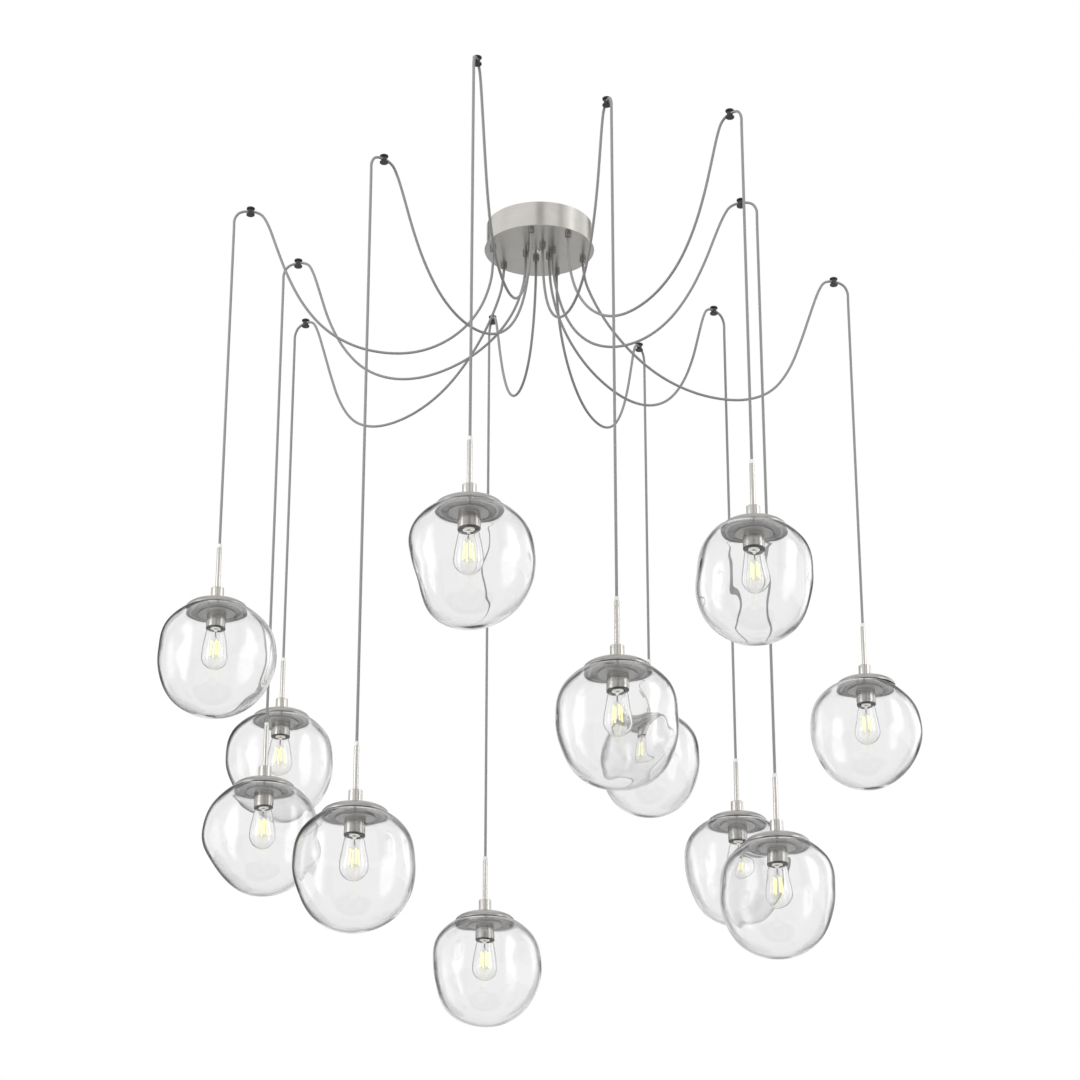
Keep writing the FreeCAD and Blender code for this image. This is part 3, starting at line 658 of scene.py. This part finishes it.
def socket_cup_outline():
    """The thin metal cup round the lamp holder."""
    inner = SOCKET_RADIUS - SOCKET_WALL
    return eased([
        (NIPPLE_RADIUS, FITTER_BOTTOM), (SOCKET_RADIUS, FITTER_BOTTOM, 0.001),
        (SOCKET_RADIUS, CUP_BOTTOM, 0.0002), (inner, CUP_BOTTOM),
        (inner, FITTER_BOTTOM - SOCKET_WALL), (NIPPLE_RADIUS, FITTER_BOTTOM - SOCKET_WALL),
    ])


def socket_body_outline():
    """The lamp holder, with the dark rim that shows below the cup."""
    inner = SOCKET_RADIUS - SOCKET_WALL - 2 * SLIP
    return eased([
        (0, NIPPLE_BOTTOM), (inner, NIPPLE_BOTTOM), (inner, CUP_BOTTOM),
        (SOCKET_RADIUS, CUP_BOTTOM), (SOCKET_RADIUS, SOCKET_BOTTOM, 0.0012),
        (SOCKET_BORE, SOCKET_BOTTOM, 0.0006),
        (SHELL_RADIUS, CUP_BOTTOM, 0.0004), (SHELL_RADIUS, HOLDER_FLOOR), (0, HOLDER_FLOOR),
    ])


def lamp_side(inset):
    """The bulb's outline from its neck to its tip, pulled in by inset."""
    centre = LAMP_TIP + LAMP_RADIUS
    shape = [(LAMP_NECK, LAMP_NECK_TOP)] + LAMP_SHOULDER + [(LAMP_RADIUS, centre)]
    fine = curve_points([(r, 0, z) for r, z in shape], 6)
    side = [(point.x - inset, point.z) for point in fine]
    return side + arc(LAMP_RADIUS - inset, LAMP_RADIUS - inset, centre, 90, 180, 14)[1:]


def lamp_glass_mesh():
    """The thin clear bulb, open at its neck."""
    outer, inner = lamp_side(0.0), lamp_side(LAMP_WALL)
    return lathe("lamp_glass", outer + inner[::-1], smooth_angle=60.0)


def screw_outline():
    """The lamp's threaded base, with its contact on top."""
    wall = []
    for i in range(SCREW_TURNS * SCREW_STEPS + 1):
        wave = SCREW_DEPTH * math.cos(2 * math.pi * i / SCREW_STEPS)
        wall.append((SCREW_RADIUS + wave, LAMP_NECK_TOP + SCREW_PITCH * i / SCREW_STEPS))
    top = wall[-1][1]
    contact = [(0.0075, top + 0.0018), (0.0045, top + 0.0024), (0, top + 0.0026)]
    return [(0, LAMP_NECK_TOP)] + wall + contact


def lamp_stem_outline():
    """The flared glass stem inside the bulb, drawn down to a fine tip."""
    return eased([
        (0, LAMP_STEM_TOP), (0.0118, LAMP_STEM_TOP), (0.0105, -0.0400, 0.0015),
        (0.0042, -0.0455, 0.002), (0.0030, -0.0480, 0.001), (0.0020, LAMP_STEM_END, 0.0005),
        (0, LAMP_STEM_END),
    ])


def lamp_mount_outline():
    """The dark lead seal at the tip of the stem, from which the filaments' wires spread."""
    return eased([
        (0, LAMP_MOUNT_TOP), (0.0013, LAMP_MOUNT_TOP, 0.0004), (0.0017, LAMP_MOUNT_END, 0.0006),
        (0, LAMP_MOUNT_END),
    ])


def rod_mesh(name, ends, radius, sides=10):
    """Straight rods between pairs of points, in one mesh."""
    bm = bmesh.new()
    for start, end in ends:
        rings = []
        for point, side, lift in tube_frames([Vector(start), Vector(end)]):
            angles = [2 * math.pi * k / sides for k in range(sides)]
            rings.append([
                bm.verts.new(point + (side * math.cos(a) + lift * math.sin(a)) * radius)
                for a in angles
            ])
        for k in range(sides):
            after = (k + 1) % sides
            bm.faces.new((rings[0][k], rings[0][after], rings[1][after], rings[1][k]))
        bm.faces.new(rings[0][::-1])
        bm.faces.new(rings[1])
    return mesh_of(name, bm)


def filament_ends():
    """The top and the foot of each filament; they lean outwards on their way down."""
    ends = []
    for i in range(FILAMENT_COUNT):
        angle = math.radians(FILAMENT_TURN + 360 / FILAMENT_COUNT * i)
        foot = Vector((math.cos(angle), math.sin(angle), 0)) * FILAMENT_RING
        top = foot * FILAMENT_LEAN
        ends.append((
            top + Vector((0, 0, FILAMENT_TOP)),
            foot + Vector((0, 0, FILAMENT_TOP - FILAMENT_LENGTH)),
        ))
    return ends


def wire_ends():
    """Fine wires from the stem's tip to the filaments, and the ring that joins their feet."""
    tip = (0, 0, WIRE_START)
    ends = [(tip, top) for top, _ in filament_ends()]
    feet = [foot for _, foot in filament_ends()]
    ends += list(zip(feet, feet[1:] + feet[:1]))
    return ends


# Globe shapes, as seen from the front. Each swell or dent is (angle in the picture, from the right
# and turned left; how far out it goes; how wide it spreads in degrees; its turn to the camera)
GLOBE_LOBES = {
    1: [(197, -0.027, 19, 0), (0, 0.004, 30, 0), (205, -0.007, 14, 42), (335, -0.006, 13, 40)],
    2: [(152, 0.006, 26, 0), (50, -0.006, 20, 0), (325, -0.006, 25, 0), (230, -0.006, 15, 40)],
    3: [(155, 0.004, 25, 0), (215, -0.009, 22, 0), (20, -0.005, 15, 45)],
    4: [(348, -0.010, 28, 0), (165, -0.007, 18, 0), (115, 0.004, 14, 0), (20, -0.005, 16, 40)],
    5: [(345, -0.009, 30, 0), (190, -0.005, 25, 0), (300, -0.006, 14, 35)],
    6: [(5, 0.009, 22, 0), (180, -0.003, 20, 0), (150, -0.006, 13, 40), (345, -0.005, 14, 45)],
    7: [(0, -0.007, 25, 0), (203, -0.006, 20, 0), (10, -0.006, 15, 38)],
    8: [(200, -0.007, 20, 0), (145, 0.003, 20, 0), (0, -0.005, 25, 0), (250, -0.005, 15, 40)],
    9: [(176, 0.009, 20, 0), (214, -0.010, 18, 0), (0, -0.005, 20, 0), (240, -0.006, 14, 40)],
    10: [(346, -0.010, 28, 0), (185, -0.003, 25, 0), (160, -0.005, 15, 40)],
    11: [(192, -0.011, 20, 0), (8, 0.005, 28, 0), (20, -0.006, 14, 42)],
    12: [(205, -0.006, 18, 0), (0, -0.001, 20, 0), (190, -0.011, 13, 38), (325, -0.006, 13, 35)],
}


def lobe_direction(turn, towards_camera):
    """The outward direction of a lobe that is drawn at an angle in the picture."""
    tilt = math.radians(CAMERA_RISE)
    right = Vector((1, 0, 0))
    up = Vector((0, -math.sin(tilt), math.cos(tilt)))
    back = Vector((0, -math.cos(tilt), -math.sin(tilt)))
    angle, lean = math.radians(turn), math.radians(towards_camera)
    flat = right * math.cos(angle) + up * math.sin(angle)
    return flat * math.cos(lean) + back * math.sin(lean)


def eased_step(value, low, high):
    """0 below low, 1 above high, and smooth between them."""
    share = min(1.0, max(0.0, (value - low) / (high - low)))
    return share * share * (3 - 2 * share)


def blown(out, lobes, inset, seed):
    """How far the glass lies from the bubble's centre in a direction, inset from its outer skin."""
    far = GLOBE_RADIUS + SHOULDER_SWELL * eased_step(out.z, *SHOULDER_RISE)
    far += FOOT_SWELL * eased_step(-out.z, *FOOT_FALL)
    for direction, reach, spread in lobes:
        away = math.acos(min(1.0, out.dot(direction))) / spread
        far += reach * math.exp(-away * away / 2)
    far += SKIN_WAVE * noise.noise(out * SKIN_WAVES + Vector((seed, 0, 0)))
    if inset:
        far -= inset + WALL_WAVE * noise.noise(out * WALL_WAVES + Vector((0, seed, 0)))
    if out.z <= TINY:
        return far
    level = (GLASS_TOP - GLOBE_CENTRE - inset) / out.z
    nearest = min(far, level)
    spill = math.exp((nearest - far) / SHOULDER_EASE) + math.exp((nearest - level) / SHOULDER_EASE)
    return nearest - SHOULDER_EASE * math.log(spill)


def globe_rows(inset):
    """The angles from straight up, in radians, of the rows from the mouth to the bottom."""
    mouth = math.atan2(MOUTH_RADIUS, GLASS_TOP - GLOBE_CENTRE - inset)
    shoulder = math.radians(SHOULDER_ANGLE)
    upper = [mouth + (shoulder - mouth) * i / SHOULDER_ROWS for i in range(SHOULDER_ROWS)]
    return upper + [shoulder + (math.pi - shoulder) * i / BODY_ROWS for i in range(BODY_ROWS + 1)]


def globe_mesh(number):
    """One blown globe: an outer and an inner skin that meet round the mouth."""
    bm = bmesh.new()
    rings = []
    lobes = [
        (lobe_direction(turn, lean), reach, math.radians(spread))
        for turn, reach, spread, lean in GLOBE_LOBES[number]
    ]
    centre = Vector((0, 0, GLOBE_CENTRE))
    seed = number * SEED_STEP
    for inset, rows in ((0.0, globe_rows(0.0)), (GLASS_WALL, globe_rows(GLASS_WALL)[::-1])):
        for fall in rows:
            count = 1 if math.sin(fall) < TINY else GLOBE_TURNS
            row = []
            for i in range(count):
                turn = 2 * math.pi * i / GLOBE_TURNS
                across = math.sin(fall)
                out = Vector((across * math.cos(turn), across * math.sin(turn), math.cos(fall)))
                row.append(bm.verts.new(centre + out * blown(out, lobes, inset, seed)))
            rings.append(row)
    sweep_rings(bm, rings)
    return mesh_of(f"globe_{number:02d}", bm, 50.0)


def cord_mesh(name, place, swag):
    """A whole cord: out of the canopy, through its hook, and straight down to the stem."""
    drop = [(-PLUMB_OFFSET, -place["rim"] - STEM_TOP), (-PLUMB_OFFSET, HANG_POINT_DEPTH)]
    flat = [(place["span"], PORT_DEPTH)] + swag[::-1] + HOOK_BEND[::-1] + drop[::-1]
    points = [place["hook"] + place["inward"] * s - Vector((0, 0, depth)) for s, depth in flat]
    path = curve_points(points, CORD_STEPS)
    return tube(name, path, CORD_RADIUS, CORD_SIDES), path


def place_of(name, port_ring):
    """Where the frame holds a pendant: its plumb line, rim, hook and port."""
    low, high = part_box(f"{name}_cord")
    plumb = Vector(((low.x + high.x) / 2, (low.y + high.y) / 2, 0))
    inward = -plumb.normalized()
    hook = plumb + inward * PLUMB_OFFSET
    return {
        "plumb": plumb,
        "inward": inward,
        "hook": hook,
        "span": hook.length - port_ring,
        "rim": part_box(f"{name}_globe")[1].z + GASKET_THICKNESS,
    }


def add_cord(name, place, swag):
    """One cord, out of the canopy, through its hook and straight down to its pendant's stem, fixed
    in place.
    """
    mesh, path = cord_mesh(f"{name}_flex", place, swag)
    piece = bpy.data.objects.new(f"{name}_flex", mesh)
    bpy.context.scene.collection.objects.link(piece)
    mesh.materials.append(BRAID)
    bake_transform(piece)
    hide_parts("swag_cords", f"{name}_cord")


def fitting_pieces():
    """The metal and insulating pieces of one pendant: (name, mesh, material, slot, node)."""
    stem_bottom = COUPLER_TOP - STEM_SEAT
    glass_floor = GLASS_TOP - GLASS_WALL
    shell_outside = SHELL_RADIUS - SLIP
    collar = ring(CORD_RADIUS + CORD_SLIP, COLLAR_RADIUS, STEM_TOP, COLLAR_TOP, 0.0006)
    stem = ring(STEM_RADIUS - STEM_WALL, STEM_RADIUS, stem_bottom, STEM_TOP, 0.0004)
    nipple = ring(NIPPLE_RADIUS - NIPPLE_WALL, NIPPLE_RADIUS - SLIP, NIPPLE_BOTTOM, NIPPLE_TOP)
    lead = ring(0, CORD_RADIUS, NIPPLE_BOTTOM, STEM_TOP)
    gasket = ring(MOUTH_RADIUS, MOUTH_RADIUS + GASKET_WIDTH, -GASKET_THICKNESS, 0)
    shade_ring = ring(HUB_RADIUS + SLIP, SHADE_RING_RADIUS, FITTER_BOTTOM, glass_floor, 0.0006)
    shell = ring(shell_outside - SHELL_WALL, shell_outside, CUP_BOTTOM, SHELL_TOP)
    rows = [
        ("collar", collar, TURNS, COLLAR, "insulator"),
        ("stem", stem, TURNS, NICKEL, "brushed_nickel"),
        ("coupler", coupler_outline(), TURNS, NICKEL, "brushed_nickel"),
        ("nipple", nipple, TURNS, ZINC, "zinc_steel"),
        ("lead", lead, TURNS, LEAD_SLEEVE, "grey_braid"),
        ("cap", cap_outline(), WIDE_TURNS, SHADED_DOME_NICKEL, "brushed_nickel"),
        ("fitter", fitter_outline(), WIDE_TURNS, SHADED_CAP_NICKEL, "brushed_nickel"),
        ("gasket", gasket, TURNS, GASKET, "insulator"),
        ("shade_ring", shade_ring, WIDE_TURNS, SHADED_CAP_NICKEL, "brushed_nickel"),
        ("socket_cup", socket_cup_outline(), TURNS, SHADED_CUP_NICKEL, "brushed_nickel"),
        ("lamp_holder", socket_body_outline(), TURNS, HOLDER, "black_metal"),
        ("screw_shell", shell, TURNS, BRASS, "zinc_steel"),
    ]
    return [
        (name, lathe(name, outline, turns), material, slot, "fitting")
        for name, outline, turns, material, slot in rows
    ]


def lamp_pieces():
    """The pieces of one lamp: (name, mesh, material, slot, node)."""
    base = lathe("lamp_base", screw_outline())
    stem = lathe("lamp_stem", lamp_stem_outline(), LAMP_STEM_TURNS)
    wires = rod_mesh("lamp_wires", wire_ends(), WIRE_RADIUS, WIRE_SIDES)
    mount = lathe("lamp_mount", lamp_mount_outline(), LAMP_MOUNT_TURNS)
    disc = lathe("lamp_disc", ring(LIT_DISC_HOLE, LAMP_NECK - LIT_DISC_GAP, *LIT_DISC_HEIGHTS))
    filaments = rod_mesh("filaments", filament_ends(), FILAMENT_RADIUS)
    return [
        ("lamp_base", base, ZINC, "zinc_steel", "lamp"),
        ("lamp_stem", stem, LAMP_GLASS, "lamp_glass", "lamp"),
        ("lamp_wires", wires, ZINC, "zinc_steel", "lamp"),
        ("lamp_mount", mount, DARK_NICKEL, "zinc_steel", "lamp"),
        ("lamp_disc", disc, PAINTED_GLOW_DISC, "insulator", "lamp"),
        ("filaments", filaments, FILAMENT, "lamp_glass", "lamp"),
        ("lamp_glass", lamp_glass_mesh(), LAMP_GLASS, "lamp_glass", "lamp"),
    ]


def add_pendants():
    """Twelve pendants: each its cord, its fitting and lamp, and its own globe."""
    shared = fitting_pieces() + lamp_pieces()
    for first, swag, port_ring, length in RINGS:
        for number in range(first, first + RING_COPIES):
            name = f"pendant_{number:02d}"
            place = place_of(name, port_ring)
            foot = place["plumb"] + Vector((0, 0, place["rim"]))
            add_cord(name, place, swag)
            for part, mesh, material, slot, node in shared:
                show(f"{name}_{part}", mesh, material, name, foot, [f"{name}_{node}"])
            show(f"{name}_glass", globe_mesh(number), GLOBE_GLASS, name, foot,
                 [f"{name}_globe"])


# Canopy and hooks: the frame's own shapes, with their finishes


def finish_node(name, material):
    """Gives one of the frame's own shapes its finish."""
    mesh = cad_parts[name].data
    mesh.materials.clear()
    mesh.materials.append(material)


def add_canopy():
    finishes = {
        "ceiling_bracket": ZINC,
        "bracket_fasteners": ZINC,
        "canopy_band": NICKEL,
        "canopy_plate": NICKEL,
        "cap_nut": POLISHED,
        "terminal_hub": INSULATOR,
        "lead_tails": LEAD_SLEEVE,
        "cord_grips": DARK_NICKEL,
        "grip_locknuts": ZINC,
        "hook_bases": BLACK,
        "hook_caps": BLACK,
    }
    for name, material in finishes.items():
        finish_node(name, material)


# Studio


def set_camera():
    """The photograph's own view."""
    data = bpy.data.cameras.new("camera")
    data.lens = LENS_MM
    data.clip_end = 100.0
    camera = bpy.data.objects.new("camera", data)
    camera.location = CAMERA_PLACE
    camera.rotation_euler = (math.radians(90 + CAMERA_RISE), 0, 0)
    bpy.context.scene.collection.objects.link(camera)
    bpy.context.scene.camera = camera


def white_rays(nodes):
    """1 for rays that show the background: the camera's, reflected ones and those through glass."""
    rays = nodes.add("ShaderNodeLightPath").outputs
    shown = nodes.math("MAXIMUM", rays["Is Camera Ray"], rays["Is Glossy Ray"])
    return nodes.math("MAXIMUM", shown, rays["Is Transmission Ray"])


def set_world(level):
    """Plain even light on the object, in front of a white background."""
    world = bpy.data.worlds.new("studio")
    bpy.context.scene.world = world
    nodes = Nodes(world, "ShaderNodeOutputWorld")
    soft = nodes.add("ShaderNodeBackground", {"Color": (1, 1, 1, 1), "Strength": level})
    white = nodes.add("ShaderNodeBackground", {"Color": (1, 1, 1, 1), "Strength": 1.0})
    mix = nodes.add("ShaderNodeMixShader", {
        0: white_rays(nodes), 1: soft.outputs[0], 2: white.outputs[0],
    })
    nodes.surface(mix.outputs[0])


def facing(place, target):
    """The turn that points a thing's +Z from its place away from a target."""
    return (Vector(place) - Vector(target)).to_track_quat("Z", "Y")


def stage_piece(name, data, place, target):
    piece = bpy.data.objects.new(name, data)
    piece.location = place
    piece.rotation_mode = "QUATERNION"
    piece.rotation_quaternion = facing(place, target)
    bpy.context.scene.collection.objects.link(piece)
    return piece


def add_lamp(name, place, target, size, power):
    """A soft area light that faces a target; the cards below are what metal and glass mirror."""
    data = bpy.data.lights.new(name, "AREA")
    data.shape = "RECTANGLE"
    data.size, data.size_y = size
    data.energy = power
    lamp = stage_piece(name, data, place, target)
    lamp.visible_glossy = lamp.visible_transmission = False


def around(angle, distance, height):
    """A place round the cluster; the angle is from +X, and the camera stands at -90."""
    turn = math.radians(angle)
    return (math.cos(turn) * distance, math.sin(turn) * distance, height)


def add_card(name, place, size, level, soft=False):
    """An upright studio card that only reflections show, also those inside the glass."""
    mesh = bpy.data.meshes.new(name)
    half_x, half_y = size[0] / 2, size[1] / 2
    corners = [
        (-half_x, -half_y, 0), (half_x, -half_y, 0), (half_x, half_y, 0), (-half_x, half_y, 0)
    ]
    mesh.from_pydata(corners, [], [(0, 1, 2, 3)])
    material = bpy.data.materials.new(name)
    nodes = Nodes(material)
    shader = nodes.add("ShaderNodeEmission", {"Color": (*level, 1.0), "Strength": 1.0}).outputs[0]
    if soft:
        spot = nodes.add("ShaderNodeTexCoord").outputs["Object"]
        even = nodes.add("ShaderNodeVectorMath", {
            0: spot, 1: (1 / half_x, 1 / half_y, 1.0),
        }, operation="MULTIPLY")
        round_off = nodes.add(
            "ShaderNodeTexGradient", {"Vector": even.outputs[0]}, gradient_type="SPHERICAL"
        )
        share = nodes.ramp(round_off.outputs["Fac"], (0.0, grey(0.0)), (0.55, grey(1.0)))
        clear = nodes.add("ShaderNodeBsdfTransparent")
        shader = nodes.add("ShaderNodeMixShader", {
            0: share, 1: clear.outputs[0], 2: shader,
        }).outputs[0]
    mirrored = nodes.math(
        "GREATER_THAN", nodes.add("ShaderNodeLightPath").outputs["Glossy Depth"], 0.5
    )
    shader = nodes.add("ShaderNodeMixShader", {
        0: mirrored, 1: nodes.add("ShaderNodeBsdfTransparent").outputs[0], 2: shader,
    }).outputs[0]
    nodes.surface(shader)
    mesh.materials.append(material)
    card = stage_piece(name, mesh, place, (0, 0, place[2]))
    card.visible_camera = card.visible_diffuse = card.visible_shadow = False


def add_floor():
    """A plain pale floor, well below the globes."""
    mesh = bpy.data.meshes.new("floor")
    corners = [(x * FLOOR_REACH, y * FLOOR_REACH) for x, y in ((-1, -1), (1, -1), (1, 1), (-1, 1))]
    mesh.from_pydata([(x, y, -FLOOR_DEPTH) for x, y in corners], [], [(0, 1, 2, 3)])
    material = bpy.data.materials.new("pale_floor")
    nodes = Nodes(material)
    matt = nodes.add("ShaderNodeBsdfDiffuse", {"Color": (0.86, 0.86, 0.86, 1.0)})
    nodes.surface(matt.outputs[0])
    mesh.materials.append(material)
    floor = bpy.data.objects.new("floor", mesh)
    bpy.context.scene.collection.objects.link(floor)


def set_studio():
    """Soft lamps on the object, and the cards that its metal and glass mirror."""
    set_world(0.62)
    middle = (0, 0, -0.9)
    add_lamp("key", (-3.2, -3.0, 1.2), middle, (1.6, 1.6), 150)
    add_lamp("fill", (3.4, -2.6, 0.2), middle, (1.4, 2.2), 60)
    # what metal and glass mirror: three softboxes, and grey cards that draw the edges of the glass
    add_card("softbox_left", around(-155, 3.6, -0.7), (2.4, 4.2), grey(3.0), soft=True)
    add_card("softbox_right", around(-18, 3.6, 0.1), (2.0, 4.2), grey(3.2), soft=True)
    add_card("softbox_side", around(28, 3.6, 0.1), (2.2, 4.2), grey(1.9), soft=True)
    add_card("card_front", around(-88, 4.4, 0.0), (1.2, 10.0), (0.50, 0.48, 0.46))
    add_card("card_right", around(-43, 4.0, 0.0), (0.8, 10.0), (0.62, 0.60, 0.58))
    add_card("card_back_left", around(126, 4.6, 0.0), (2.0, 10.0), grey(0.20))
    add_card("card_back_right", around(54, 4.6, 0.0), (1.8, 10.0), grey(0.32))
    add_floor()


set_camera()
set_studio()
add_canopy()
add_pendants()

scene = bpy.context.scene
scene.view_settings.view_transform = "Standard"
scene.cycles.max_bounces = 40
scene.cycles.transmission_bounces = 36
scene.cycles.transparent_max_bounces = 40
